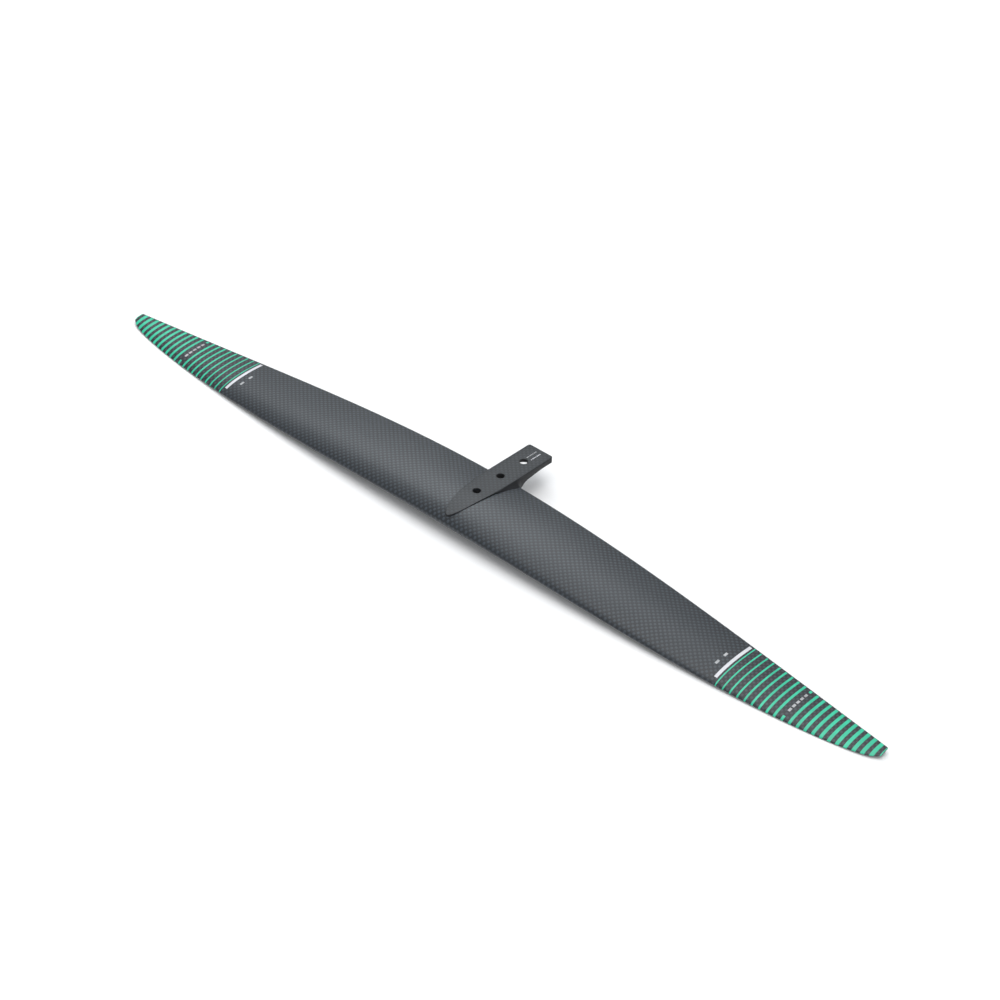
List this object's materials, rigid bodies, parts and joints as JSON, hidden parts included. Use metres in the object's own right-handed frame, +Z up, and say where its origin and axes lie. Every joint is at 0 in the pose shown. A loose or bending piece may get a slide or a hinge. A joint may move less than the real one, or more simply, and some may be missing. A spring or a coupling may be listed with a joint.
{
  "type": "hydrofoil front wing",
  "caption": "Slender high-aspect carbon hydrofoil front wing with drooped tips, a raised saddle and rear tongue with in-line bolt holes.",
  "frame": {"origin": "centre of the middle bolt hole on the saddle's flat top face", "axes": "+X along the span towards the right-hand tip, +Y aft along the tongue, +Z up out of the saddle face"},
  "size_m": [1.028, 0.1458, 0.0312],
  "materials": {
    "laminate": "satin clear coat over woven carbon",
    "spar_laminate": "solid unidirectional carbon laminate",
    "foam_core": "closed-cell structural foam",
    "edge_resin": "filled epoxy",
    "mint_film": "printed film under clear coat",
    "white_film": "printed film under clear coat"
  },
  "bodies": {
    "root": {"saddle": "laminate", "gusset_right": "laminate", "gusset_left": "laminate", "upper_skin": "laminate", "lower_skin": "laminate", "spar_cap_upper": "spar_laminate", "spar_cap_lower": "spar_laminate", "shear_web": "spar_laminate", "root_block_front": "spar_laminate", "root_block_rear": "spar_laminate", "core_front_left": "foam_core", "core_front_right": "foam_core", "core_rear_left": "foam_core", "core_rear_right": "foam_core", "le_bead": "edge_resin", "te_strip_left": "edge_resin", "te_strip_right": "edge_resin", "tip_left": "laminate", "tip_right": "laminate", "stripes_left": "mint_film", "stripes_right": "mint_film", "bar_left": "white_film", "bar_right": "white_film", "mark_left": "white_film", "mark_right": "white_film", "tongue_mark": "white_film"}
  },
  "joints": []
}
